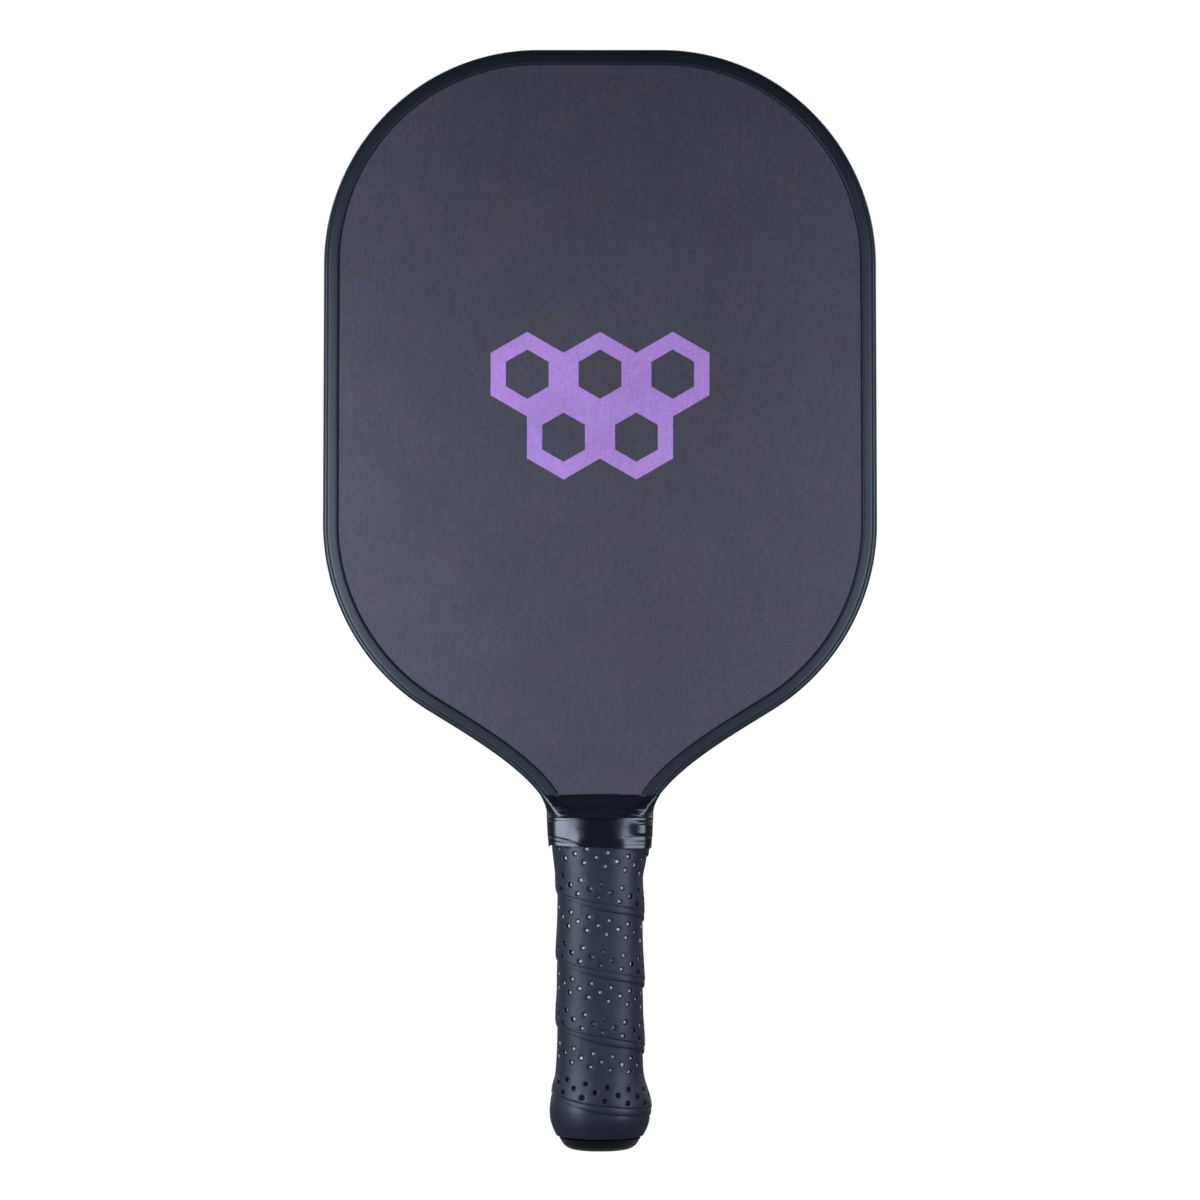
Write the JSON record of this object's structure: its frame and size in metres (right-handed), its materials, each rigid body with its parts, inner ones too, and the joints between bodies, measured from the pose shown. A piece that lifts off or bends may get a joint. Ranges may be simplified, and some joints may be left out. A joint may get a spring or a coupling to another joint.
{
  "type": "pickleball paddle",
  "caption": "Hand-held court paddle: rounded flat blade of woven face sheets over a honeycomb core, rimmed by an edge guard, on a short handle with a wound cushion grip and flared butt cap.",
  "frame": {"origin": "on the handle's axis at the middle of the grip, where a hand closes round it, in the middle plane of the blade", "axes": "+Z from the butt end to the head, +X across the blade, +Y out of the rear face; the front face looks along -Y"},
  "size_m": [0.2016, 0.0352, 0.4],
  "materials": {
    "core_polymer": "translucent white polypropylene",
    "scrim_fleece": "thin white fleece",
    "face_weave": "satin resin over a fine plain weave",
    "emblem_print": "satin printed ink that follows the weave",
    "guard_plastic": "satin extruded plastic",
    "edge_adhesive": "soft double-sided tape",
    "pallet_foam": "sawn rigid foam",
    "cap_plastic": "glossy moulded plastic",
    "staple_steel": "galvanised wire",
    "grip_foam": "closed-cell foam",
    "grip_skin": "semi-matt synthetic leather, perforated",
    "tape_vinyl": "glossy stretched vinyl"
  },
  "bodies": {
    "root": {"honeycomb_core": "core_polymer", "front_scrim": "scrim_fleece", "rear_scrim": "scrim_fleece", "front_face_sheet": "face_weave", "rear_face_sheet": "face_weave", "front_emblem": "emblem_print", "rear_emblem": "emblem_print", "edge_guard": "guard_plastic", "edge_guard_tape": "edge_adhesive", "front_handle_pallet": "pallet_foam", "rear_handle_pallet": "pallet_foam", "butt_cap": "cap_plastic", "front_cap_staple": "staple_steel", "rear_cap_staple": "staple_steel", "grip_start_staple": "staple_steel", "grip_cushion": "grip_foam", "grip_wrap": "grip_skin", "finishing_tape": "tape_vinyl"}
  },
  "joints": []
}
